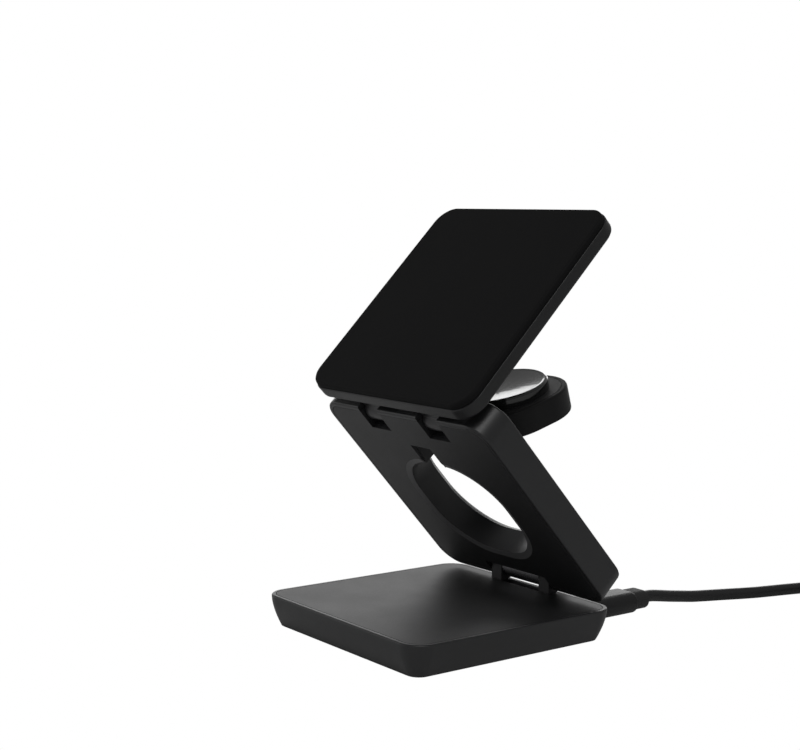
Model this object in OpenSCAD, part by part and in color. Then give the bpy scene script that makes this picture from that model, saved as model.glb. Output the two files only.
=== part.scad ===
// Foldable charging stand: a flat base pad, an arm leaning forward with a fold-out round pad in its
// window, and a tilting panel at the top, with its supply cord plugged into the back.
// Frame: origin on the table under the middle of the base, X across, +Y to the back, +Z up.

/* [Slabs] */
// Width of the base, the arm and the panel
slab_w = 70; // [66:0.5:80]
// Length of the base, the arm and the panel
slab_l = 72; // [70:0.5:84]
// Plan radius of every slab corner
corner_r = 6.6; // [4:0.1:10]

/* [Base] */
// Height of the base
base_h = 9.4; // [9:0.1:13]
// How far the base side draws in at the bottom
base_tuck = 2.8; // [1:0.1:3.4]
// Round of the base's top edge
base_edge = 0.5; // [0.3:0.1:1.2]
// Height of the foot pad under the base
foot_h = 0.2; // [0.2:0.1:1]
// Thickness of the base's top plate
top_plate_t = 1.3; // [1:0.1:1.6]
// Width of the rim round the top plate
top_rim = 1.2; // [1:0.1:3]
// Roof of the base shell under the top plate
base_roof_t = 1; // [0.8:0.1:1.4]
// Thickness of the steel weight
weight_t = 1.6; // [0.8:0.1:2]

/* [Arm] */
// Thickness of the arm
arm_t = 9; // [8:0.1:11]
// Lean of the arm out of the flat fold
arm_lean = 47; // [30:1:80]
// Lower hinge axis to the arm's lower end
arm_low_end = 0.7; // [0.5:0.1:1.2]
// Upper hinge axis to the arm's top end
arm_top_end = 4.2; // [4:0.1:5]
// Gap between base and folded arm
fold_gap = 0.3; // [0.2:0.1:1]
// Half width of the window
window_half = 18.6; // [17:0.1:19]
// Plan radius of the window's corners
window_r = 15.4; // [10:0.1:16]
// Width of the lip round the window
window_lip = 0.7; // [0.3:0.1:1.2]

/* [Panel] */
// Thickness of the panel's back shell
panel_shell_t = 3.5; // [3:0.1:5]
// Thickness of the panel's front pad
panel_pad_t = 1.9; // [1.5:0.1:3]
// Rise of the panel above level
panel_rise = 45.5; // [30:0.5:80]
// Gap between the arm and the folded panel
panel_gap = 2.4; // [2.2:0.1:4]

/* [Watch pad] */
// Thickness of the watch pad
pad_t = 7.4; // [7:0.1:8]
// Gap round the folded watch pad
pad_gap = 0.45; // [0.3:0.05:0.8]
// Rise of the watch pad above level
pad_rise = 16.7; // [0:0.1:40]
// Watch pad axis below the arm's top end
pad_axis_down = 13.9; // [13.6:0.1:16]
// Watch pad axis to the middle of the pad
pad_reach = 25.9; // [25.5:0.1:28]
// Radius of the charging puck
puck_r = 14.4; // [13:0.1:15]
// Height of the puck above the watch pad
puck_proud = 3.1; // [2:0.1:3.4]

/* [Cord] */
// Diameter of the cord
cord_d = 3.5; // [3:0.1:4]
// Width of the plug grip
grip_w = 10.8; // [10:0.1:12]
// Height of the plug grip
grip_h = 6.2; // [5.6:0.1:6.6]
// Length of the plug grip
grip_l = 23.6; // [18:0.1:28]
// Mean radius of the coiled turns
coil_r = 19; // [18:0.5:22]

/* [Hidden] */
$fn = 48;
fit_gap = 0.15;
pin_gap = 0.05;
eps = 0.02;

// base
side_top = base_h - base_edge;
side_foot = foot_h + 0.3;
base_wall = base_tuck + 2;
plate_low = base_h - top_plate_t;
base_roof = plate_low - base_roof_t;
plate_t = 1.5;
plate_top = foot_h + plate_t;
foot_sunk = 0.6;
foot_in = 10.6;
board_w = 40;
board_l = 13.4;
weight_gap = 6;
base_coil_r = 20;
base_coil_in = 9;
base_ferrite_w = 43;
base_cav_w = slab_w - 2 * base_wall;
base_cav_l = slab_l - 2 * base_wall;
cav_r = 3;

// lower hinge
hinge_y = slab_l / 2 - arm_low_end;
hinge_z = base_h + fold_gap + arm_t / 2;
ear_r = 4.2;
ear_out = 12.4;
ear_in = 8.1;
ear_foot_y0 = hinge_y - ear_r;
ear_foot_y1 = ear_foot_y0 + 2.8;
ear_plate_t = 1.2;
ear_tab_y = ear_foot_y0 - 5.2;
eye_half = ear_in - 0.3;
low_pin_r = 1.5;
notch_half = ear_out + 0.4;
notch_deep = ear_r + 0.5;

// arm
arm_wall = 1.6;
arm_back_t = 1.2;
cover_t = 1.4;
cover_in = 1.5;
leaf_t = 2;
leaf_at = 12.4;
flex_w = 4;
flex_l = 44;
flex_in = 5.3;

// upper hinge
top_axis = slab_l - arm_low_end - arm_top_end;
lug_r = 3.6;
lug_in = 9;
lug_out = 17;
lug_gap = 0.4;
top_pin_r = 1.5;
top_pin_half = 20;
top_block = top_axis - lug_r - 0.6;

// watch pad
pad_axis_at = slab_l - pad_axis_down;
window_at = pad_axis_at - pad_reach;
pad_axis = pad_axis_at - arm_low_end;
pad_axis_t = 5.9;
pad_half = window_half - pad_gap;
pad_r = window_r - pad_gap;
pad_mid = pad_reach;
pad_low = -5.5;
pad_top = pad_low + pad_t;
neck_half = 3;
neck_r = 1.9;
slot_half = 4;
slot_front = 0.5;
slot_back = 2.7;
back_chamfer = 1.2;
pad_pin_r = 0.8;
pad_pin_half = slot_half + 2.5;

// panel
panel_low = arm_top_end;
panel_mid = slab_l / 2 - panel_low;
panel_back = arm_t / 2 + panel_gap;
panel_wall = 1.6;
panel_skin = 1.2;
panel_floor = panel_back + panel_skin;
panel_seam = panel_back + panel_shell_t;
panel_front = panel_seam + panel_pad_t;
pad_roof = panel_front - 1.1;
ring_in = 23.4;
ring_out = 27.4;
panel_board_w = 36;
panel_board_l = 14;
panel_board_at = 10;
lug_w = 4.4;
panel_plate_w = 40;
panel_screw_x = 5;

// supply socket and plug
socket_w = 8.9;
socket_h = 3.2;
port_x = ear_out + socket_w / 2 + fit_gap;
port_z = base_h / 2;
socket_l = 7.4;
socket_y = slab_l / 2 - 1.6;
socket_wall = 0.25;
plug_w = 8.2;
plug_h = 2.4;
plug_l = 6.6;
grip_y = slab_l / 2 + 0.4;
relief_l = 6.6;
relief_w = 8.6;
relief_h = 5.4;
cord_r = cord_d / 2;
cord_start = grip_y + grip_l + relief_l;
turn = cord_d - 0.1;
coil_x = 57;
coil_y = 147;
far_x = coil_x + coil_r + turn;
far_y = 131;

// The cord leaves the grip level, drops to the table and curves across it to the coil.
route = [
  [17, cord_start, port_z],
  [17, 68.6, 4.65],
  [17.1, 73, 4.05],
  [17.3, 77.5, 3.35],
  [17.6, 82, 2.75],
  [18.1, 86.5, 2.2],
  [18.8, 91, 1.9],
  [19.9, 95.5, cord_r],
  [21.6, 100, cord_r],
  [23.3, 104.5, cord_r],
  [24.8, 109, cord_r],
  [26.1, 114, cord_r],
  [27.3, 119, cord_r],
  [28.6, 124, cord_r],
  [30, 129, cord_r],
  [31.5, 134, cord_r],
  [33, 139, cord_r],
  [34.2, 143.5, cord_r],
  [34.6, 148, cord_r]
];
tail_route = [
  [far_x, coil_y, cord_r + turn],
  [far_x, 142, 4.9],
  [far_x, 137, 3.7],
  [far_x, 133.5, 3.1],
  [far_x, far_y, grip_h / 2]
];

// Shapes shared by the pieces

// Plan outline with round corners
module plan(w, l, r) {
  square([w, l - 2 * r], center = true);
  square([w - 2 * r, l], center = true);
  for (x = [-1, 1])
    for (y = [-1, 1])
      translate([x * (w / 2 - r), y * (l / 2 - r)]) circle(r);
}

// Flat block with the plan outline from height z0 to z1
module block(w, l, r, z0, z1) {
  translate([0, 0, z0]) linear_extrude(z1 - z0) plan(w, l, r);
}

// Slab whose side follows a list of [inset, height] points from bottom to top
module slab(w, l, r, side) {
  n = len(side);
  low = side[0][1];
  high = side[n - 1][1];
  edge = concat([[0, low]], [for (p = side) [r - p[0], p[1]]], [[0, high]]);
  across = concat([for (p = side) [w / 2 - p[0], p[1]]],
    [for (i = [n - 1:-1:0]) [side[i][0] - w / 2, side[i][1]]]);
  translate([0, l / 2 - r, 0]) rotate([90, 0, 0]) linear_extrude(l - 2 * r) polygon(across);
  for (k = [0, 1])
    mirror([0, k, 0])
      translate([r - w / 2, l / 2 - r, 0]) rotate([90, 0, 90]) linear_extrude(w - 2 * r) polygon(edge);
  for (k = [0:3]) {
    sx = (k == 0 || k == 3) ? 1 : -1;
    sy = k < 2 ? 1 : -1;
    translate([sx * (w / 2 - r), sy * (l / 2 - r), 0]) rotate([0, 0, 90 * k])
      rotate_extrude(angle = 90) polygon(edge);
  }
}

// Side points of a slab from z0 to z1 with a round of r0 below and r1 above
function rounded(z0, z1, r0, r1) = concat(
  [for (a = [90:-30:0]) [r0 * (1 - cos(a)), z0 + r0 * (1 - sin(a))]],
  [for (a = [0:30:90]) [r1 * (1 - cos(a)), z1 - r1 * (1 - sin(a))]]);

// Block across X from x0 to x1 with a Y-Z outline
module across_x(x0, x1) {
  translate([x0, 0, 0]) rotate([90, 0, 90]) linear_extrude(x1 - x0) children();
}

// Cylinder along X
module rod_x(x0, x1, r) {
  translate([x0, 0, 0]) rotate([0, 90, 0]) cylinder(h = x1 - x0, r = r);
}

// Ring about Z from z0 to z1
module ring(r0, r1, z0, z1) {
  translate([0, 0, z0]) difference() {
    cylinder(h = z1 - z0, r = r1);
    translate([0, 0, -1]) cylinder(h = z1 - z0 + 2, r = r0);
  }
}

// Block along Y with a flat oval section
module oval_y(w, h, y0, y1) {
  translate([0, y1, 0]) rotate([90, 0, 0]) linear_extrude(y1 - y0) {
    square([w - h, h], center = true);
    for (s = [-1, 1]) translate([s * (w - h) / 2, 0]) circle(h / 2);
  }
}

// Places of the moving bodies
module at_arm() {
  translate([0, hinge_y, hinge_z]) rotate([-arm_lean, 0, 0]) children();
}

arm_axis_y = hinge_y - top_axis * cos(arm_lean);
arm_axis_z = hinge_z + top_axis * sin(arm_lean);
module at_panel() {
  translate([0, arm_axis_y, arm_axis_z]) rotate([panel_rise, 0, 0]) children();
}

pad_lift = pad_axis_t - arm_t / 2;
pad_axis_y = hinge_y - pad_axis * cos(arm_lean) + pad_lift * sin(arm_lean);
pad_axis_z = hinge_z + pad_axis * sin(arm_lean) + pad_lift * cos(arm_lean);
module at_pad() {
  translate([0, pad_axis_y, pad_axis_z]) rotate([pad_rise, 0, 0]) children();
}

// Base

base_side = concat(
  [[base_tuck + 0.4, foot_h], [base_tuck + 0.12, foot_h + 0.12]],
  [for (f = [1, 0.86, 0.72, 0.58, 0.44, 0.3, 0.16, 0])
    [base_tuck * pow(f, 1.6), side_top - f * (side_top - side_foot)]],
  [for (a = [22.5:22.5:90]) [base_edge * (1 - cos(a)), side_top + base_edge * sin(a)]]);

screw_in = 2.6;
screw_x = base_cav_w / 2 - screw_in;
screw_y = base_cav_l / 2 - screw_in;

module ear_slot() {
  translate([-ear_out - 0.1, ear_foot_y0 - 0.1, base_roof - ear_plate_t - 0.1])
    cube([2 * ear_out + 0.2, ear_foot_y1 - ear_foot_y0 + 0.2, base_h]);
}

module base_shell() {
  color([0.08, 0.08, 0.085])
  difference() {
    slab(slab_w, slab_l, corner_r, base_side);
    difference() {
      block(base_cav_w, base_cav_l, cav_r, foot_h - 1, base_roof);
      for (x = [-1, 1])
        for (y = [-1, 1])
          translate([x * screw_x, y * screw_y, plate_top]) cylinder(h = base_h, r = screw_in + 0.2);
    }
    block(slab_w - 2 * top_rim, slab_l - 2 * top_rim, corner_r - top_rim, plate_low, base_h + 1);
    for (x = [-1, 1])
      for (y = [-1, 1])
        translate([x * screw_x, y * screw_y, 0]) cylinder(h = 5.4, r = 1);
    ear_slot();
    translate([-ear_out - 0.1, base_cav_l / 2 - 1, base_roof - ear_plate_t - 0.1])
      cube([2 * ear_out + 0.2, ear_foot_y0 + 1 - base_cav_l / 2, ear_plate_t + 0.1]);
    translate([port_x, 0, port_z]) oval_y(socket_w + 0.3, socket_h + 0.3, base_cav_l / 2 - 1, slab_l);
  }
}

module base_top_plate() {
  color([0.06, 0.06, 0.065])
  difference() {
    block(slab_w - 2 * (top_rim + fit_gap), slab_l - 2 * (top_rim + fit_gap), corner_r - top_rim - fit_gap,
      plate_low, base_h);
    ear_slot();
  }
}

module base_bottom_plate() {
  color([0.1, 0.1, 0.1])
  difference() {
    block(base_cav_w - 2 * fit_gap, base_cav_l - 2 * fit_gap, cav_r - fit_gap, foot_h, plate_top);
    for (x = [-1, 1])
      for (y = [-1, 1])
        translate([x * screw_x, y * screw_y, 0]) cylinder(h = 3, r = 1.15);
    for (x = [-1, 1])
      for (y = [-1, 1])
        translate([x * screw_x, y * screw_y, foot_h - 1]) cylinder(h = 1.6, r = 2);
    block(base_cav_w - foot_in, base_cav_l - foot_in, cav_r - 1, foot_h - 1, foot_h + foot_sunk);
  }
}

module base_foot_pad() {
  color([0.13, 0.13, 0.13])
  block(base_cav_w - foot_in - 0.4, base_cav_l - foot_in - 0.4, cav_r - 1.2, 0, foot_h + foot_sunk);
}

board_t = 1;
board_y1 = base_cav_l / 2 - 0.6;
board_y0 = board_y1 - board_l;
board_low = port_z - socket_h / 2 - board_t;
weight_y0 = weight_gap - base_cav_l / 2;
weight_l = board_y0 - weight_gap - weight_y0;
module base_weight() {
  color([0.6, 0.6, 0.62])
  translate([0, weight_y0 + weight_l / 2, 0])
    block(base_cav_w - 2 * weight_gap, weight_l, 2, plate_top, plate_top + weight_t);
}

module base_board() {
  color([0.05, 0.3, 0.16])
  difference() {
    translate([port_x + socket_w / 2 + 0.6 - board_w, board_y0, board_low]) cube([board_w, board_l, board_t]);
    for (y = [board_y0 + 2, board_y1 - 2])
      translate([port_x + socket_w / 2 + 2.6 - board_w, y, board_low - 1]) cylinder(h = 3, r = 1);
  }
}

module base_board_chips() {
  color([0.12, 0.12, 0.13])
  for (c = [[0.38, 0.22, 6, 6, 1], [0.68, 0.19, 5, 5, 1.1], [0.18, 0.3, 4, 6.4, 1.6], [0.84, 0.1, 3.2, 2.6, 1.3],
      [0.52, 0.76, 2, 1.2, 0.7], [0.61, 0.76, 2, 1.2, 0.7]])
    translate([port_x + socket_w / 2 - (1 - c[0]) * board_w, board_y0 + c[1] * board_l, board_low + board_t])
      cube([c[2], c[3], c[4]]);
}

module usb_socket() {
  color([0.75, 0.75, 0.77])
  translate([port_x, 0, port_z]) difference() {
    oval_y(socket_w, socket_h, socket_y - socket_l, socket_y);
    oval_y(socket_w - 2 * socket_wall, socket_h - 2 * socket_wall, socket_y - socket_l + 0.6, socket_y + 1);
  }
}

coil_y0 = -6;
module earbud_coil() {
  color([0.72, 0.4, 0.2])
  translate([0, coil_y0, 0]) ring(base_coil_in, base_coil_r, base_roof - 1, base_roof);
}

module earbud_ferrite() {
  color([0.2, 0.2, 0.21])
  translate([0, coil_y0, 0]) block(base_ferrite_w, base_ferrite_w, 2, base_roof - 1.6, base_roof - 1);
}

module base_screws() {
  color([0.65, 0.65, 0.67])
  for (x = [-1, 1])
    for (y = [-1, 1])
      translate([x * screw_x, y * screw_y, 0]) difference() {
        union() {
          translate([0, 0, foot_h]) cylinder(h = 4.8, r = 1);
          translate([0, 0, foot_h]) cylinder(h = 0.6, r = 1.9);
        }
        translate([0, 0, foot_h - 0.2]) cylinder(h = 0.55, r = 0.8, $fn = 6);
      }
}

// Outline of one hinge ear, seen along X, from its foot up round the axis
module ear_outline() {
  translate([hinge_y, hinge_z]) circle(ear_r);
  polygon([[ear_foot_y0, base_roof - ear_plate_t], [ear_foot_y1, base_roof - ear_plate_t], [ear_foot_y1, base_h],
    [hinge_y + ear_r * cos(-50), hinge_z + ear_r * sin(-50)], [hinge_y, hinge_z], [ear_foot_y0, hinge_z]]);
}

module base_hinge_bracket() {
  color([0.1, 0.1, 0.105])
  difference() {
    union() {
      across_x(-ear_out, -ear_in) ear_outline();
      across_x(ear_in, ear_out) ear_outline();
      translate([-ear_out, ear_tab_y, base_roof - ear_plate_t])
        cube([2 * ear_out, ear_foot_y1 - ear_tab_y, ear_plate_t]);
    }
    translate([0, hinge_y, hinge_z]) rod_x(-ear_out - 1, ear_out + 1, low_pin_r);
    for (s = [-1, 1])
      translate([s * 9, ear_tab_y + 2.4, 0]) cylinder(h = 20, r = 0.8);
  }
}

module lower_hinge_pin() {
  color([0.7, 0.7, 0.72])
  translate([0, hinge_y, hinge_z]) rod_x(-ear_out + 0.3, ear_out - 0.3, low_pin_r);
}

// Arm, drawn folded flat with its lower hinge axis at the origin

arm_mid = arm_low_end - slab_l / 2;
arm_side = rounded(-arm_t / 2, arm_t / 2, 0.7, 0.9);
window_y = arm_low_end - window_at;

module window_hole(grow, z0, z1) {
  translate([0, window_y, 0])
    block(2 * (window_half + grow), 2 * (window_half + grow), window_r + grow, z0, z1);
}

module lip_cut(z0, z1, g0, g1) {
  translate([0, window_y, 0]) slab(2 * (window_half + g0), 2 * (window_half + g0), window_r + g0,
    [[0, z0], [g0 - g1, z1]]);
}

front_t = -arm_t / 2;
back_t = arm_t / 2;

module arm_frame() {
  color([0.09, 0.09, 0.095])
  at_arm() difference() {
    translate([0, arm_mid, 0]) slab(slab_w, slab_l, corner_r, arm_side);
    // recess for the front cover
    translate([0, arm_mid, 0])
      block(slab_w - 2 * cover_in, slab_l - 2 * cover_in, corner_r - cover_in, front_t - 1, front_t + cover_t);
    // hollow behind it, round the window
    difference() {
      translate([0, arm_mid, 0])
        block(slab_w - 2 * (cover_in + arm_wall), slab_l - 2 * (cover_in + arm_wall),
          corner_r - cover_in - arm_wall, front_t, back_t - arm_back_t);
      window_hole(1.5, -arm_t, arm_t);
      translate([-notch_half - 1.6, -14.4, -arm_t]) cube([2 * notch_half + 3.2, 20, 2 * arm_t]);
      translate([-22, -slab_l, -arm_t]) cube([44, slab_l - top_block, 2 * arm_t]);
      translate([-slot_half - 4.5, -slab_l, -arm_t])
        cube([2 * slot_half + 9, slab_l + window_y - window_half, 2 * arm_t]);
    }
    window_hole(0, -arm_t, arm_t);
    lip_cut(back_t - back_chamfer, back_t + 0.01, 0.01, back_chamfer);
    // lower notch
    translate([-notch_half, -notch_deep, -arm_t]) cube([2 * notch_half, notch_deep + 5, 2 * arm_t]);
    translate([-leaf_at - 0.05, -11.8, -leaf_t / 2]) cube([2 * leaf_at + 0.1, 12, leaf_t]);
    for (s = [-1, 1])
      translate([s * 8, -9, front_t]) cylinder(h = 6, r = 0.9);
    // notches and bore of the upper hinge
    for (s = [-1, 1])
      translate([s * (lug_in + lug_out) / 2 - (lug_out - lug_in) / 2 - lug_gap, -slab_l, -arm_t])
        cube([lug_out - lug_in + 2 * lug_gap, slab_l - top_axis + lug_r + 0.5, 2 * arm_t]);
    translate([0, -top_axis, 0]) rod_x(-top_pin_half, top_pin_half, top_pin_r);
    // slot and bore of the watch pad hinge
    translate([-slot_half, -pad_axis - slot_front, -arm_t])
      cube([2 * slot_half, pad_axis + slot_front + window_y - window_half + 2, 2 * arm_t]);
    translate([-slot_half, -pad_axis - slot_back, pad_lift - slot_back])
      cube([2 * slot_half, slot_back + 2, arm_t]);
    translate([0, -pad_axis, pad_lift]) rod_x(-pad_pin_half, pad_pin_half, pad_pin_r);
  }
}

module arm_front_cover() {
  color([0.07, 0.07, 0.075])
  at_arm() difference() {
    translate([0, arm_mid, 0])
      block(slab_w - 2 * (cover_in + fit_gap), slab_l - 2 * (cover_in + fit_gap),
        corner_r - cover_in - fit_gap, front_t, front_t + cover_t);
    lip_cut(front_t - 0.01, front_t + cover_t + 0.01, window_lip, 0);
    translate([-notch_half, -notch_deep, -arm_t]) cube([2 * notch_half, notch_deep + 5, 2 * arm_t]);
    for (s = [-1, 1])
      translate([s * (lug_in + lug_out) / 2 - (lug_out - lug_in) / 2 - lug_gap, -slab_l, -arm_t])
        cube([lug_out - lug_in + 2 * lug_gap, slab_l - top_axis + lug_r + 0.5, 2 * arm_t]);
    translate([-slot_half - 0.2, -pad_axis - slot_front, -arm_t])
      cube([2 * slot_half + 0.4, pad_axis + slot_front + window_y - window_half + 2, 2 * arm_t]);
  }
}

module arm_hinge_leaf() {
  color([0.55, 0.55, 0.57])
  at_arm() difference() {
    union() {
      translate([-leaf_at, -11.6, -leaf_t / 2]) cube([2 * leaf_at, 6.8, leaf_t]);
      translate([-eye_half, -6, -leaf_t / 2]) cube([2 * eye_half, 6, leaf_t]);
      rod_x(-eye_half, eye_half, ear_r);
    }
    rod_x(-eye_half - 1, eye_half + 1, low_pin_r + pin_gap);
    for (s = [-1, 1])
      translate([s * 8, -9, -5]) cylinder(h = 10, r = 1);
  }
}

module arm_flex_lead() {
  color([0.75, 0.45, 0.15])
  at_arm() translate([slab_w / 2 - cover_in - arm_wall - flex_in - flex_w, window_y - flex_l / 2, front_t + 2.2])
    cube([flex_w, flex_l, 0.3]);
}

module arm_screws() {
  color([0.65, 0.65, 0.67])
  at_arm() for (s = [-1, 1])
    translate([s * 8, -9, front_t + cover_t]) {
      cylinder(h = 4.2, r = 0.9);
      cylinder(h = 0.7, r = 1.6);
    }
}

module upper_hinge_pin() {
  color([0.7, 0.7, 0.72])
  at_arm() translate([0, -top_axis, 0]) rod_x(-top_pin_half, top_pin_half, top_pin_r);
}

module watch_hinge_pin() {
  color([0.7, 0.7, 0.72])
  at_arm() translate([0, -pad_axis, pad_lift]) rod_x(-pad_pin_half, pad_pin_half, pad_pin_r);
}

// Panel, drawn lying with its hinge axis at the origin and its front upwards

panel_side = rounded(panel_back, panel_seam, 1, 0.25);
pad_side = rounded(panel_seam, panel_front, 0.15, 0.9);

module panel_back_shell() {
  color([0.08, 0.08, 0.085])
  at_panel() difference() {
    translate([0, panel_mid, 0]) slab(slab_w, slab_l, corner_r, panel_side);
    translate([0, panel_mid, 0])
      block(slab_w - 2 * panel_wall, slab_l - 2 * panel_wall, corner_r - panel_wall, panel_floor, panel_front);
    for (s = [-1, 1])
      translate([s * (lug_in + lug_out) / 2 - (lug_out - lug_in) / 2 - 0.1, -lug_w / 2 - 0.1, 0])
        cube([lug_out - lug_in + 0.2, lug_w + 0.2, panel_front]);
  }
}

module panel_front_pad() {
  color([0.12, 0.12, 0.125])
  at_panel() difference() {
    translate([0, panel_mid, 0]) slab(slab_w - 0.7, slab_l - 0.7, corner_r - 0.35, pad_side);
    translate([0, panel_mid, 0])
      block(slab_w - 2 * panel_wall - 1.6, slab_l - 2 * panel_wall - 1.6, corner_r - panel_wall - 0.8,
        panel_seam - 1, pad_roof);
  }
}

module panel_magnet_ring() {
  color([0.6, 0.6, 0.62])
  at_panel() translate([0, panel_mid, 0]) difference() {
    ring(ring_in, ring_out, pad_roof - 1.5, pad_roof);
    translate([-4, -30, panel_back]) cube([8, 10, 10]);
  }
}

module phone_coil() {
  color([0.72, 0.4, 0.2])
  at_panel() translate([0, panel_mid, 0]) ring(9, ring_in - 1.9, pad_roof - 1, pad_roof);
}

module phone_ferrite() {
  color([0.2, 0.2, 0.21])
  at_panel() translate([0, panel_mid, 0]) translate([0, 0, pad_roof - 1.6]) cylinder(h = 0.6, r = ring_in - 0.8);
}

module panel_board() {
  color([0.05, 0.3, 0.16])
  at_panel() translate([-panel_board_w / 2, panel_mid + panel_board_at, panel_floor])
    cube([panel_board_w, panel_board_l, 0.8]);
}

foot_y1 = 9;
module lug_outline() {
  circle(lug_r);
  translate([-lug_w / 2, 0]) square([lug_w, panel_floor + 0.1]);
}

module panel_hinge_bracket() {
  color([0.5, 0.5, 0.52])
  at_panel() difference() {
    union() {
      for (s = [0, 1])
        mirror([s, 0, 0]) across_x(lug_in, lug_out) lug_outline();
      translate([-panel_plate_w / 2, -lug_w / 2, panel_floor]) cube([panel_plate_w, foot_y1 + lug_w / 2, 1]);
    }
    rod_x(-lug_out - 1, lug_out + 1, top_pin_r + pin_gap);
    for (s = [-1, 1])
      translate([s * panel_screw_x, lug_w / 2 + 2.8, 0]) cylinder(h = 20, r = 0.8);
  }
}

module panel_screws() {
  color([0.65, 0.65, 0.67])
  at_panel() for (s = [-1, 1])
    translate([s * panel_screw_x, lug_w / 2 + 2.8, panel_floor]) {
      cylinder(h = 1, r = 0.8);
      translate([0, 0, 1]) cylinder(h = 0.6, r = 1.5);
    }
}

// Watch pad, drawn level with its hinge axis at the origin

watch_side = rounded(pad_low, pad_top, 0.5, 0.6);

module watch_pad_shell() {
  color([0.08, 0.08, 0.085])
  at_pad() difference() {
    union() {
      translate([0, pad_mid, 0]) slab(2 * pad_half, 2 * pad_half, pad_r, watch_side);
      across_x(-neck_half, neck_half) {
        circle(neck_r);
        translate([0, -neck_r]) square([pad_mid - pad_half + 1, 2 * neck_r]);
      }
    }
    translate([0, pad_mid, 0]) block(2 * pad_half - 3, 2 * pad_half - 3, pad_r - 1.5, pad_low + 1.2, pad_top + 1);
    rod_x(-neck_half - 1, neck_half + 1, pad_pin_r + pin_gap);
  }
}

module watch_pad_cover() {
  color([0.09, 0.09, 0.095])
  at_pad() translate([0, pad_mid, 0]) difference() {
    block(2 * (pad_half - 1.5 - fit_gap), 2 * (pad_half - 1.5 - fit_gap), pad_r - 1.5 - fit_gap, pad_top - 1, pad_top);
    translate([0, 0, pad_top - 2]) cylinder(h = 3, r = puck_r - 1);
  }
}

module watch_puck_rim() {
  color([0.12, 0.12, 0.125])
  at_pad() translate([0, pad_mid, 0]) rotate_extrude() polygon([
    [puck_r - 1.4, pad_top], [puck_r, pad_top], [puck_r, pad_top + puck_proud - 0.7],
    [puck_r - 0.25, pad_top + puck_proud - 0.2], [puck_r - 0.7, pad_top + puck_proud],
    [puck_r - 1.4, pad_top + puck_proud - 0.15]]);
}

module watch_puck_face() {
  color([0.15, 0.15, 0.155])
  at_pad() translate([0, pad_mid, 0]) rotate_extrude() polygon([
    [0, pad_top + puck_proud - 1.9], [puck_r - 2.6, pad_top + puck_proud - 1.9],
    [puck_r - 2.6, pad_top], [puck_r - 1.45, pad_top],
    [puck_r - 1.45, pad_top + puck_proud - 0.15], [puck_r - 3, pad_top + puck_proud - 0.3],
    [puck_r - 6, pad_top + puck_proud - 0.62], [puck_r - 10, pad_top + puck_proud - 0.85],
    [0, pad_top + puck_proud - 0.95]]);
}

puck_roof = pad_top + puck_proud - 1.9;
watch_coil_in = 5.6;
module watch_coil() {
  color([0.72, 0.4, 0.2])
  at_pad() translate([0, pad_mid, 0]) ring(watch_coil_in, puck_r - 3.4, puck_roof - 1.2, puck_roof);
}

module watch_ferrite() {
  color([0.2, 0.2, 0.21])
  at_pad() translate([0, pad_mid, puck_roof - 1.9]) cylinder(h = 0.7, r = puck_r - 3);
}

module watch_magnet() {
  color([0.7, 0.7, 0.72])
  at_pad() translate([0, pad_mid, puck_roof - 1.2]) cylinder(h = 1.2, r = watch_coil_in - 1.2);
}

module watch_board() {
  color([0.05, 0.3, 0.16])
  at_pad() translate([0, pad_mid, pad_low + 1.2]) cylinder(h = 0.8, r = pad_half - 5.15);
}

// Cord, plugs and coil

module plug_metal() {
  difference() {
    oval_y(plug_w, plug_h, -plug_l, 0);
    oval_y(plug_w - 0.6, plug_h - 0.6, -plug_l - 1, -1);
  }
}

module plug_body() {
  oval_y(grip_w, grip_h, 0, grip_l);
}

module plug_neck() {
  oval_y(relief_w, relief_h, grip_l, grip_l + relief_l);
}

module plug_shell() {
  color([0.78, 0.78, 0.8])
  translate([port_x, grip_y, port_z]) plug_metal();
}

module plug_grip() {
  color([0.1, 0.1, 0.105])
  translate([port_x, grip_y, port_z]) plug_body();
}

module plug_relief() {
  color([0.12, 0.12, 0.125])
  translate([port_x, grip_y, port_z]) plug_neck();
}

// Tube of eight sides swept along a list of points
function unit(v) = v / norm(v);
function heading(p, i) = unit(i == 0 ? p[1] - p[0] : (i == len(p) - 1 ? p[i] - p[i - 1]
  : unit(p[i] - p[i - 1]) + unit(p[i + 1] - p[i])));
function ring_at(p, i, r) = let (t = heading(p, i), a = unit(cross(t, [0, 0, 1])), b = cross(a, t))
  [for (k = [0:7]) p[i] + r * (cos(45 * k + 22.5) * a + sin(45 * k + 22.5) * b)];

module tube(p, r) {
  n = len(p);
  pts = [for (i = [0:n - 1]) each ring_at(p, i, r)];
  ends = [[for (k = [0:7]) k], [for (k = [7:-1:0]) (n - 1) * 8 + k]];
  walls = [for (i = [0:n - 2]) for (k = [0:7]) [i * 8 + k, (i + 1) * 8 + k,
    (i + 1) * 8 + (k + 1) % 8, i * 8 + (k + 1) % 8]];
  polyhedron(points = pts, faces = concat(ends, walls));
}

module cable_run() {
  color([0.09, 0.09, 0.095])
  tube(route, cord_r / cos(22.5) - 0.05);
}

// Section of the coiled turns: three below, three above and two on top
module turns() {
  for (k = [-1:1])
    for (j = [0, 1])
      translate([coil_r + k * turn, cord_r + j * turn]) circle(cord_r);
  for (k = [-0.5, 0.5])
    translate([coil_r + k * turn, cord_r + 1.87 * turn]) circle(cord_r);
}

module cable_coil() {
  color([0.09, 0.09, 0.095])
  translate([coil_x, coil_y, 0]) rotate_extrude() turns();
}

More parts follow.
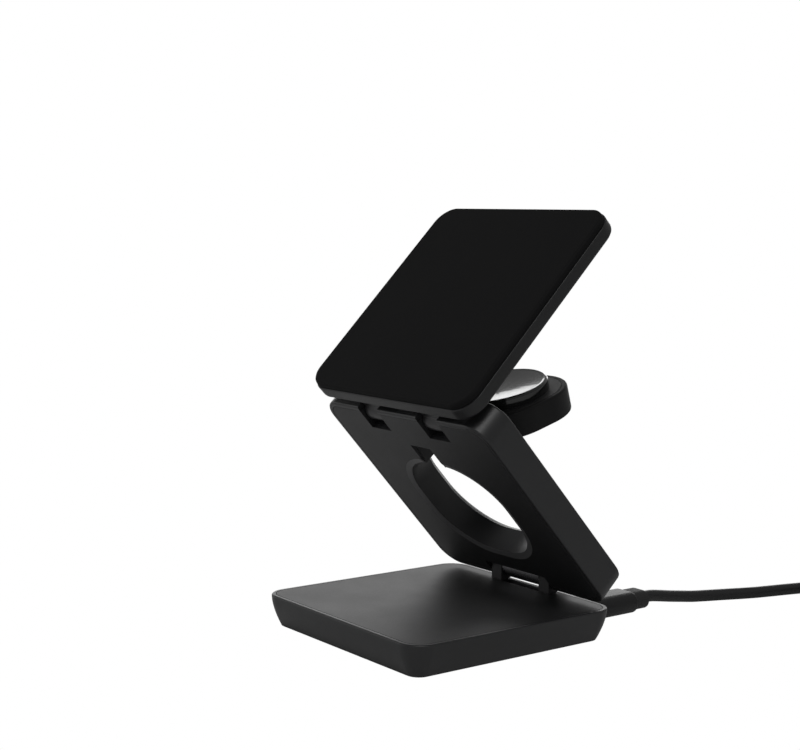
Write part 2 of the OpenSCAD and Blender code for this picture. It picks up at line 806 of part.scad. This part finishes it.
module coil_tie() {
  color([0.14, 0.14, 0.145])
  translate([coil_x, coil_y, 0]) rotate([0, 0, 80]) rotate_extrude(angle = 20) difference() {
    translate([coil_r - turn - cord_r - 1, 0]) square([2 * turn + cord_d + 2, cord_d + 1.87 * turn + 1]);
    translate([coil_r - turn - cord_r, -1]) square([2 * turn + cord_d, cord_d + 1.87 * turn + 1.03]);
  }
}

module cable_tail() {
  color([0.09, 0.09, 0.095])
  tube(tail_route, cord_r / cos(22.5) - 0.05);
}

module far_relief() {
  color([0.12, 0.12, 0.125])
  translate([far_x, far_y - grip_l - relief_l, grip_h / 2]) plug_neck();
}

module far_grip() {
  color([0.1, 0.1, 0.105])
  translate([far_x, far_y - grip_l - relief_l, grip_h / 2]) plug_body();
}

module far_plug_shell() {
  color([0.78, 0.78, 0.8])
  translate([far_x, far_y - grip_l - relief_l, grip_h / 2]) plug_metal();
}

base_shell();
base_top_plate();
base_bottom_plate();
base_foot_pad();
base_weight();
base_board();
base_board_chips();
usb_socket();
earbud_coil();
earbud_ferrite();
base_screws();
base_hinge_bracket();
lower_hinge_pin();
arm_frame();
arm_front_cover();
arm_hinge_leaf();
arm_flex_lead();
arm_screws();
upper_hinge_pin();
watch_hinge_pin();
panel_back_shell();
panel_front_pad();
panel_magnet_ring();
phone_coil();
phone_ferrite();
panel_board();
panel_hinge_bracket();
panel_screws();
watch_pad_shell();
watch_pad_cover();
watch_puck_rim();
watch_puck_face();
watch_coil();
watch_ferrite();
watch_magnet();
watch_board();
plug_shell();
plug_grip();
plug_relief();
cable_run();
cable_coil();
coil_tie();
cable_tail();
far_relief();
far_grip();
far_plug_shell();
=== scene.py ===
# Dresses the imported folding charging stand: camera and cord first, then shells, materials and light.
import math

import bpy
import bmesh
from mathutils import Matrix, Vector


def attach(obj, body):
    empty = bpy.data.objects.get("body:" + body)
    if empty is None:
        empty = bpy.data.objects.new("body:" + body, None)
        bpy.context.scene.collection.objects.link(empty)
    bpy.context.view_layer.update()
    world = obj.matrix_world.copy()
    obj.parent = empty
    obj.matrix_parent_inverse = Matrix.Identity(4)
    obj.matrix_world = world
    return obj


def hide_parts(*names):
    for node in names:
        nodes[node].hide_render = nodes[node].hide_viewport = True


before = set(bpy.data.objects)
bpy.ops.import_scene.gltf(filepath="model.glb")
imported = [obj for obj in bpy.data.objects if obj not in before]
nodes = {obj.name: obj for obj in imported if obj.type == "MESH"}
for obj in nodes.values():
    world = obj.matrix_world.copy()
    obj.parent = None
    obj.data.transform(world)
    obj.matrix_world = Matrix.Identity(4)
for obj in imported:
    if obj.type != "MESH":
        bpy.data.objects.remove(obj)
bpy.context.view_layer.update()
mm = 0.001


def say(text):
    print("stage:", text, flush=True)


# Camera at the photo's angle: lens in mm, turns in degrees, and mm from the base's middle
view = {
    "lens": 68.49,
    "sensor": 36,
    "near": 10,
    "yaw": 52.08,
    "pitch": 5.82,
    "roll": -1.09,
    "at": (324.9, -268.15, 115.9),
}


def addCamera():
    yaw, pitch, roll = (math.radians(view[k]) for k in ("yaw", "pitch", "roll"))
    forward = Vector((-math.sin(yaw) * math.cos(pitch), math.cos(yaw) * math.cos(pitch), -math.sin(pitch)))
    right = Vector((math.cos(yaw), math.sin(yaw), 0))
    down = forward.cross(right)
    across = right * math.cos(roll) + down * math.sin(roll)
    up = right * math.sin(roll) - down * math.cos(roll)
    data = bpy.data.cameras.new("camera")
    data.sensor_width = view["sensor"]
    data.lens = view["lens"]
    data.clip_start = view["near"] * mm
    camera = bpy.data.objects.new("camera", data)
    bpy.context.scene.collection.objects.link(camera)
    turn = Matrix((across, up, -forward)).transposed().to_4x4()
    camera.matrix_world = Matrix.Translation(Vector(view["at"]) * mm) @ turn
    bpy.context.scene.camera = camera


addCamera()

# Cord in mm: the same route as the solids, then the turns of the coil, then the tail to the far plug
cordSpec = {
    "diameter": 3.5,
    "start": (17, 63.6, 4.7),
    "run": [
        (17, 65.6, 4.7), (17, 69, 4.6), (17.1, 73, 4.05), (17.3, 77.5, 3.35), (17.6, 82, 2.75),
        (18.1, 86.5, 2.2), (18.8, 91, 1.9), (19.9, 95.5, 1.75), (21.6, 100, 1.75), (23.3, 104.5, 1.75),
        (24.8, 109, 1.75), (26.1, 114, 1.75), (27.3, 119, 1.75), (28.6, 124, 1.75), (30, 129, 1.75),
        (31.5, 134, 1.75), (33, 139, 1.75), (34.2, 143.5, 1.75),
    ],
    "coilAt": (57, 147),
    "radius": 19,
    "pitch": 3.5,
    "layers": [(1, 0), (0, 0), (-1, 0), (-1, 1), (0, 1), (-0.5, 1.87), (0.5, 1.87), (1, 1)],
    "turns": 7.5,
    "pointsPerTurn": 40,
    "runSteps": 4,
    "tailSteps": 5,
    "tubeSteps": 5,
    "shift": 0.12,  # share of a turn in which the cord steps to its next layer
    "tail": [(79.5, 142, 4.9), (79.4, 137, 3.7), (79.4, 133.5, 3.1), (79.4, 131, 3.1)],
}


def smooth(points, steps):
    # a curve through all the points, level with its neighbours at each
    pts = [Vector(p) for p in points]
    out = []
    for i in range(len(pts) - 1):
        a = pts[max(i - 1, 0)]
        b, c = pts[i], pts[i + 1]
        d = pts[min(i + 2, len(pts) - 1)]
        for k in range(steps):
            t = k / steps
            out.append(0.5 * ((2 * b) + (c - a) * t + (2 * a - 5 * b + 4 * c - d) * t * t
                              + (3 * b - a - 3 * c + d) * t ** 3))
    out.append(pts[-1])
    return out


def coilPoints():
    spec = cordSpec
    cx, cy = spec["coilAt"]
    low = spec["diameter"] / 2
    shift = spec["shift"]
    points = []
    for i in range(int(spec["turns"] * spec["pointsPerTurn"]) + 1):
        turn = i / spec["pointsPerTurn"]
        k = min(int(turn), len(spec["layers"]) - 1)
        part = turn - k
        now = Vector(spec["layers"][k])
        if k > 0 and part < shift:
            t = 0.5 - 0.5 * math.cos(math.pi * part / shift)
            now = Vector(spec["layers"][k - 1]).lerp(now, t)
        angle = math.pi - 2 * math.pi * turn
        r = spec["radius"] + now.x * spec["pitch"]
        points.append((cx + r * math.cos(angle), cy + r * math.sin(angle), low + now.y * spec["pitch"]))
    return points


def addCord():
    spec = cordSpec
    radius = spec["diameter"] / 2
    coil = [Vector(p) for p in coilPoints()]
    head = smooth([spec["start"]] + spec["run"] + [coil[0]], spec["runSteps"])
    tail = smooth([coil[-1]] + spec["tail"], spec["tailSteps"])
    line = head[:-1] + coil + tail[1:]
    total = sum((line[i + 1] - line[i]).length for i in range(len(line) - 1))
    say(f"cord {total:.0f} mm long")
    curve = bpy.data.curves.new("supply_cord", "CURVE")
    curve.dimensions = "3D"
    curve.bevel_depth = 1.0
    curve.bevel_resolution = spec["tubeSteps"]
    curve.use_fill_caps = True
    spline = curve.splines.new("POLY")
    spline.points.add(len(line) - 1)
    for point, at in zip(spline.points, line):
        point.co = (at.x * mm, at.y * mm, max(at.z, radius) * mm, 1)
        point.radius = radius * mm  # the tube's real radius, so that the curve's own box is true
    spline.use_smooth = True
    cord = bpy.data.objects.new("supply_cord", curve)
    bpy.context.scene.collection.objects.link(cord)
    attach(cord, "base")
    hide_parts("cable_run", "cable_coil", "cable_tail")
    return cord, total


cord, cordLength = addCord()


# Shader graphs: sockets with operators, and one call for any node
class Sock:
    def __init__(self, graph, out):
        self.graph = graph
        self.out = out

    def calc(self, operation, first, second):
        # a vector or a colour on either side makes it Vector Math
        vector = any(v.out.type in ("VECTOR", "RGBA") if isinstance(v, Sock) else isinstance(v, (tuple, Vector))
                     for v in (first, second))
        kind = "ShaderNodeVectorMath" if vector else "ShaderNodeMath"
        if vector:
            first, second = (v if not isinstance(v, (int, float)) else (v, v, v) for v in (first, second))
        return self.graph.node(kind, {0: first, 1: second}, operation=operation)

    def __add__(self, other):
        return self.calc("ADD", self, other)

    def __radd__(self, other):
        return self.calc("ADD", other, self)

    def __sub__(self, other):
        return self.calc("SUBTRACT", self, other)

    def __rsub__(self, other):
        return self.calc("SUBTRACT", other, self)

    def __mul__(self, other):
        return self.calc("MULTIPLY", self, other)

    def __rmul__(self, other):
        return self.calc("MULTIPLY", other, self)

    def __truediv__(self, other):
        return self.calc("DIVIDE", self, other)

    def __rtruediv__(self, other):
        return self.calc("DIVIDE", other, self)


class Graph:
    def __init__(self, owner, shader="Principled BSDF"):
        owner.use_nodes = True
        self.tree = owner.node_tree
        self.shader = self.tree.nodes[shader]

    def node(self, kind, inputs=None, out=0, **facts):
        made = self.tree.nodes.new(kind)
        for name, value in facts.items():
            setattr(made, name, value)
        for key, value in (inputs or {}).items():
            self.plug(value, made.inputs[key])
        return Sock(self, made.outputs[out])

    def plug(self, value, socket):
        if isinstance(value, Sock):
            self.tree.links.new(value.out, socket)
        else:
            socket.default_value = value

    def set(self, **values):
        for name, value in values.items():
            self.plug(value, self.shader.inputs[name.replace("_", " ")])

    def noise(self, where, scale, detail, rough):
        return self.node("ShaderNodeTexNoise", {"Vector": where, "Scale": scale, "Detail": detail,
                                                "Roughness": rough})

    def fit(self, value, low, high, toLow, toHigh):
        return self.node("ShaderNodeMapRange", {"Value": value, "From Min": low, "From Max": high,
                                                "To Min": toLow, "To Max": toHigh})

    def mix(self, share, first, second):
        return self.node("ShaderNodeMix", {0: share, 6: (*first, 1), 7: (*second, 1)}, out=2, data_type="RGBA")

    def bump(self, height, strength, depth):
        normal = self.node("ShaderNodeBump", {"Height": height, "Strength": strength, "Distance": depth})
        self.plug(normal, self.shader.inputs["Normal"])


# Moulded plastic has soft clouds of tone under a fine grain, and metal has fine lines.
# Each noise gives its scale, detail and roughness.
plasticGrain = {"clouds": (60, 4, 0.6), "fine": (2200, 2, 0.5), "cloudShare": 0.6, "bump": 0.35}
metalGrain = {"lines": (900, 3, 0.6), "smoother": 0.07, "rougher": 0.09, "bump": 0.15, "depth": 0.00001}
noiseSpan = (0.3, 0.7)  # where nearly all of the noise's values lie


def plastic(name, low, high, rough, grain, depth, coat=0.0, gloss=0.5):
    material = bpy.data.materials.new(name)
    graph = Graph(material)
    where = graph.node("ShaderNodeTexCoord", out="Object")
    share = plasticGrain["cloudShare"]
    clouds = graph.noise(where, *plasticGrain["clouds"])
    fine = graph.noise(where, *plasticGrain["fine"])
    graph.set(Base_Color=graph.mix(clouds, low, high))
    both = clouds * share + fine * (1 - share)
    graph.set(Roughness=graph.fit(both, *noiseSpan, rough - grain, rough + grain))
    graph.set(Coat_Weight=coat, Specular_IOR_Level=gloss)
    graph.bump(fine, plasticGrain["bump"], depth)
    return material


def metal(name, colour, darker, rough, stretch=(1, 1, 1)):
    material = bpy.data.materials.new(name)
    graph = Graph(material)
    where = graph.node("ShaderNodeTexCoord", out="Object") * stretch
    lines = graph.noise(where, *metalGrain["lines"])
    graph.set(Base_Color=graph.mix(lines, colour, darker), Metallic=1.0)
    low, high = rough - metalGrain["smoother"], rough + metalGrain["rougher"]
    graph.set(Roughness=graph.fit(lines, *noiseSpan, low, high))
    graph.bump(lines, metalGrain["bump"], metalGrain["depth"])
    return material


# Looks: name, two tones, roughness and its spread, bump depth in metres, then coat and gloss where they
# differ from the usual
looks = {
    "shell": plastic("satin_black", (0.0135, 0.0137, 0.0145), (0.0175, 0.0178, 0.0187), 0.42, 0.04, 0.000012),
    "cover": plastic("soft_black", (0.011, 0.011, 0.0118), (0.0145, 0.0147, 0.0155), 0.5, 0.04, 0.000015),
    "silicone": plastic("matt_silicone", (0.004, 0.004, 0.0042), (0.006, 0.006, 0.0063), 0.72, 0.05, 0.00002,
                        gloss=0.14),
    "panel": plastic("panel_black", (0.0115, 0.0117, 0.0123), (0.015, 0.0153, 0.016), 0.42, 0.04, 0.000012,
                     gloss=0.38),
    # the watch pad's deeper black is painted shade, standing in for the shadow of the watch and strap above it
    "pad": plastic("pad_painted_shade_black", (0.006, 0.006, 0.0063), (0.008, 0.008, 0.0084), 0.5, 0.04, 0.000012,
                   gloss=0.2),
    # the lip's lighter grey is a painted highlight, standing in for light on the window's chamfered edge
    "lip": plastic("lip_painted_highlight", (0.075, 0.075, 0.077), (0.085, 0.085, 0.087), 0.4, 0.04, 0.00001),
    "rubber": plastic("dark_silicone", (0.012, 0.012, 0.0125), (0.018, 0.018, 0.0185), 0.6, 0.05, 0.00002),
    "gloss": plastic("gloss_black", (0.006, 0.006, 0.0065), (0.008, 0.008, 0.0085), 0.12, 0.03, 0.000002, 0.4),
    "grip": plastic("grip_black", (0.009, 0.009, 0.0095), (0.012, 0.012, 0.0126), 0.38, 0.05, 0.00001,
                    gloss=0.36),
    "cord": plastic("cord_black", (0.012, 0.012, 0.0126), (0.018, 0.018, 0.0188), 0.45, 0.06, 0.00001,
                    gloss=0.4),
    "steel": metal("plain_steel", (0.62, 0.62, 0.64), (0.5, 0.5, 0.52), 0.3, (1, 8, 1)),
    "dark": plastic("dark_metal", (0.014, 0.014, 0.015), (0.02, 0.02, 0.021), 0.35, 0.05, 0.000008),
    "copper": metal("bare_copper", (0.8, 0.38, 0.2), (0.6, 0.26, 0.13), 0.35),
    "board": plastic("board_green", (0.01, 0.06, 0.03), (0.015, 0.09, 0.045), 0.35, 0.05, 0.00001),
    "ferrite": plastic("ferrite_grey", (0.03, 0.03, 0.032), (0.05, 0.05, 0.053), 0.6, 0.05, 0.00002),
}
# What each look covers
dress = {
    "shell": "base_shell arm_frame base_bottom_plate",
    "panel": "panel_back_shell",
    # the watch pad's shell takes the black darkened with painted shade
    "pad": "watch_pad_shell",
    "cover": "arm_front_cover base_top_plate watch_pad_cover",
    "rubber": "base_foot_pad coil_tie plug_relief far_relief",
    "silicone": "panel_front_pad",
    "gloss": "watch_puck_rim watch_puck_face",
    "grip": "plug_grip far_grip",
    "cord": "cable_run cable_coil cable_tail",
    "steel": "base_weight base_screws arm_screws panel_screws lower_hinge_pin upper_hinge_pin watch_hinge_pin "
             "usb_socket plug_shell far_plug_shell panel_magnet_ring watch_magnet arm_hinge_leaf",
    "dark": "base_hinge_bracket panel_hinge_bracket",
    "copper": "earbud_coil phone_coil watch_coil arm_flex_lead",
    "board": "base_board panel_board watch_board",
    "ferrite": "base_board_chips earbud_ferrite phone_ferrite watch_ferrite",
}
for look, names in dress.items():
    for name in names.split():
        nodes[name].data.materials.clear()
        nodes[name].data.materials.append(looks[look])
cord.data.materials.append(looks["cord"])
say("materials")

# Outer pieces: copies of the solids with worked edges and smooth curved faces.
# Each solid gives its piece's name, body and slot, and the width of its rounded edges in mm.
finished = {
    "base_shell": ("base_case", "base", "shell", 0.1),
    "base_top_plate": ("base_top", "base", "inner_plastic", 0.1),
    "arm_frame": ("arm_case", "arm", "shell", 0.15),
    "arm_front_cover": ("arm_face", "arm", "inner_plastic", 0.12),
    "arm_hinge_leaf": ("arm_hinge_eye", "arm", "steel", 0.1),
    "base_hinge_bracket": ("hinge_ears", "base", "dark_metal", 0.2),
    "panel_back_shell": ("panel_case", "panel", "shell", 0.3),
    "panel_front_pad": ("panel_face", "panel", "soft_rubber", 0.05),
    "panel_hinge_bracket": ("panel_lugs", "panel", "steel", 0.15),
    "watch_pad_shell": ("watch_case", "watch_pad", "shell", 0.1),
    "watch_pad_cover": ("watch_top", "watch_pad", "inner_plastic", 0.08),
    "watch_puck_rim": ("puck_rim", "watch_pad", "gloss", 0.0),
    "watch_puck_face": ("puck_face", "watch_pad", "gloss", 0.0),
    "plug_grip": ("plug_body", "base", "grip", 0.7),
    "plug_relief": ("plug_neck", "base", "soft_rubber", 0.5),
    "far_grip": ("far_body", "base", "grip", 0.7),
    "far_relief": ("far_neck", "base", "soft_rubber", 0.5),
}

# Trims bring outer faces to the photo, in mm. On the arm a point lies "along" from its lower end and
# "deep" behind its front plane.
armTrim = {
    "lean": 47,
    "axis": (35.3, 14.2),
    "lowEnd": 0.7,
    "thick": 9,
    "tail": {"below": 6.7, "outside": 28, "edge": 1.0, "notch": 12.7, "longer": 0.7},
    "rear": {"behind": 7.5, "thicker": 0.5},
    "window": {"middle": 32.2, "half": 18.6, "corner": 15.4},
    "lip": {"wide": 0.7, "wider": 2.0, "depth": 1.4, "shallower": 0.45},
    "near": 0.12,
}


def trimArm(vert, node):
    tail, rear, lip = (armTrim[k] for k in ("tail", "rear", "lip"))
    c, s = math.cos(math.radians(armTrim["lean"])), math.sin(math.radians(armTrim["lean"]))
    axisY, axisZ = armTrim["axis"]
    middle = armTrim["thick"] / 2
    x, y, z = vert.co / mm
    along = armTrim["lowEnd"] - ((y - axisY) * c - (z - axisZ) * s)
    deep = (y - axisY) * s + (z - axisZ) * c + middle
    way, past = fromWindow(x, along)
    newAlong, newDeep = along, deep
    if along < tail["below"] and (abs(x) > tail["outside"] or along < tail["edge"]) and abs(x) > tail["notch"]:
        newAlong -= tail["longer"]
    if deep > rear["behind"]:
        newDeep += rear["thicker"]
    if node == "arm_front_cover" and deep < armTrim["near"] and abs(past - lip["wide"]) < armTrim["near"]:
        x += way.x * (lip["wider"] - lip["wide"])
        newAlong = along + way.y * (lip["wider"] - lip["wide"])
    if abs(deep - lip["depth"]) < armTrim["near"] and abs(past) < armTrim["near"]:
        newDeep = lip["shallower"]
    down, back = armTrim["lowEnd"] - newAlong, newDeep - middle
    vert.co = Vector((x, axisY + down * c + back * s, axisZ - down * s + back * c)) * mm


def fromWindow(x, along):
    # direction out of the window's rounded outline, and how far past it
    window = armTrim["window"]
    flat = window["half"] - window["corner"]
    over = Vector((math.copysign(max(abs(x) - flat, 0), x),
                   math.copysign(max(abs(along - window["middle"]) - flat, 0), along - window["middle"])))
    return over.normalized(), over.length - window["corner"]


panelTrim = {"rise": 45.5, "axis": (-10.462, 63.274), "below": 8.6, "thicker": 0.55}


def trimPanel(vert, node):
    c, s = math.cos(math.radians(panelTrim["rise"])), math.sin(math.radians(panelTrim["rise"]))
    axisY, axisZ = panelTrim["axis"]
    y, z = vert.co.yz / mm
    if (z - axisZ) * c - (y - axisY) * s < panelTrim["below"]:
        vert.co += Vector((0, s, -c)) * panelTrim["thicker"] * mm


plugTrim = {"gripBehind": 50, "gripShorter": 1.6, "reliefBehind": 64, "reliefShorter": 0.8}


def trimPlug(vert, node):
    behind = vert.co.y / mm
    if node == "plug_relief" or behind > plugTrim["gripBehind"]:
        vert.co.y -= plugTrim["gripShorter"] * mm
    if node == "plug_relief" and behind > plugTrim["reliefBehind"]:
        vert.co.y -= plugTrim["reliefShorter"] * mm


trims = {
    "arm_frame": trimArm,
    "arm_front_cover": trimArm,
    "panel_back_shell": trimPanel,
    "plug_grip": trimPlug,
    "plug_relief": trimPlug,
}
# faces this many degrees off the cover's front get the lip's painted highlight
lipHighlightTilt = (6, 25)  # degrees off the cover's front


def paintLipHighlight(data):
    # the lip's faces are those that slope a little; they take the lighter grey of the painted highlight
    data.materials.append(looks["lip"])
    lean = math.radians(armTrim["lean"])
    front = Vector((0, -math.sin(lean), -math.cos(lean)))
    for face in data.polygons:
        if lipHighlightTilt[0] < math.degrees(front.angle(face.normal)) < lipHighlightTilt[1]:
            face.material_index = 1


# Mesh work in metres and degrees: weld and flatten first, then round the edges over the bevel's angle
work = {"weld": 2e-6, "flat": 0.6, "sharp": 32, "coverSharp": 9, "bevelOver": 50, "bevelSteps": 3}


def shaped(node, name):
    mesh = bmesh.new()
    mesh.from_mesh(nodes[node].data)
    bmesh.ops.remove_doubles(mesh, verts=mesh.verts, dist=work["weld"])
    if node in trims:
        for vert in mesh.verts:
            trims[node](vert, node)
    bmesh.ops.dissolve_limit(mesh, angle_limit=math.radians(work["flat"]), verts=mesh.verts, edges=mesh.edges)
    data = bpy.data.meshes.new(name)
    mesh.to_mesh(data)
    mesh.free()
    data.shade_smooth()
    sharp = work["coverSharp" if node == "arm_front_cover" else "sharp"]
    data.set_sharp_from_angle(angle=math.radians(sharp))
    data.materials.append(nodes[node].data.materials[0])
    return data


def worked(node):
    name, body, slotName, edge = finished[node]
    piece = bpy.data.objects.new(name, shaped(node, name))
    if node == "arm_front_cover":
        paintLipHighlight(piece.data)
    bpy.context.scene.collection.objects.link(piece)
    if edge > 0:
        bevel = piece.modifiers.new("edge", "BEVEL")
        bevel.width = edge * mm
        bevel.segments = work["bevelSteps"]
        bevel.limit_method = "ANGLE"
        bevel.angle_limit = math.radians(work["bevelOver"])
        bevel.harden_normals = True
    even = piece.modifiers.new("even", "WEIGHTED_NORMAL")  # keeps wide flat faces evenly lit
    even.keep_sharp = True
    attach(piece, body)
    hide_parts(node)


for node in finished:
    worked(node)
say("outer pieces")

# Floor, backdrop and light: metres and watts
light = {
    "sky": 0.26,
    "floorSide": 6,
    "floorDepth": 0.0002,
    "floorTone": 0.8,
    "floorRough": 0.7,
    "aim": (0, 0, 0.06),
    "top": {"size": (0.3, 0.3), "at": (0.47, -0.25, 0.8), "power": 1.9},
    "front": {"size": (1.2, 0.7), "at": (-0.9, -0.75, 0.3), "power": 1.8},
    "back": {"size": (1.4, 0.6), "at": (-1.1, 0.85, 0.3), "power": 4.7},
}


def whiteStage():
    # the camera sees pure white, and the light sees a matt white floor
    material = bpy.data.materials.new("stage_white")
    graph = Graph(material)
    tone = light["floorTone"]
    graph.set(Base_Color=(tone, tone, tone, 1), Roughness=light["floorRough"])
    seen = graph.node("ShaderNodeLightPath", out="Is Camera Ray")
    glow = graph.node("ShaderNodeEmission", {"Color": (1, 1, 1, 1), "Strength": 1.0})
    mixed = graph.node("ShaderNodeMixShader", {0: seen, 1: Sock(graph, graph.shader.outputs[0]), 2: glow})
    graph.plug(mixed, graph.tree.nodes["Material Output"].inputs["Surface"])
    return material


def addFloor():
    side, low = light["floorSide"], -light["floorDepth"]
    data = bpy.data.meshes.new("floor")
    data.from_pydata([(-side, -side, low), (side, -side, low), (side, side, low), (-side, side, low)],
                     [], [(0, 1, 2, 3)])
    data.materials.append(whiteStage())
    floor = bpy.data.objects.new("floor", data)
    bpy.context.scene.collection.objects.link(floor)


def addSky():
    world = bpy.data.worlds.new("sky")
    bpy.context.scene.world = world
    graph = Graph(world, "Background")
    seen = graph.node("ShaderNodeLightPath", out="Is Camera Ray")
    graph.set(Color=(1, 1, 1, 1), Strength=graph.fit(seen, 0, 1, light["sky"], 1))


def addLamp(name):
    spec = light[name]
    data = bpy.data.lights.new(name, "AREA")
    data.shape = "RECTANGLE"
    data.size, data.size_y = spec["size"]
    data.energy = spec["power"]
    lamp = bpy.data.objects.new(name, data)
    bpy.context.scene.collection.objects.link(lamp)
    lamp.location = spec["at"]
    lamp.visible_camera = False
    aim = Vector(light["aim"]) - Vector(spec["at"])
    lamp.rotation_euler = aim.to_track_quat("-Z", "Y").to_euler()


addFloor()
addSky()
for name in ("top", "front", "back"):
    addLamp(name)
bpy.context.scene.view_settings.view_transform = "Standard"
say("light")

bpy.context.view_layer.update()
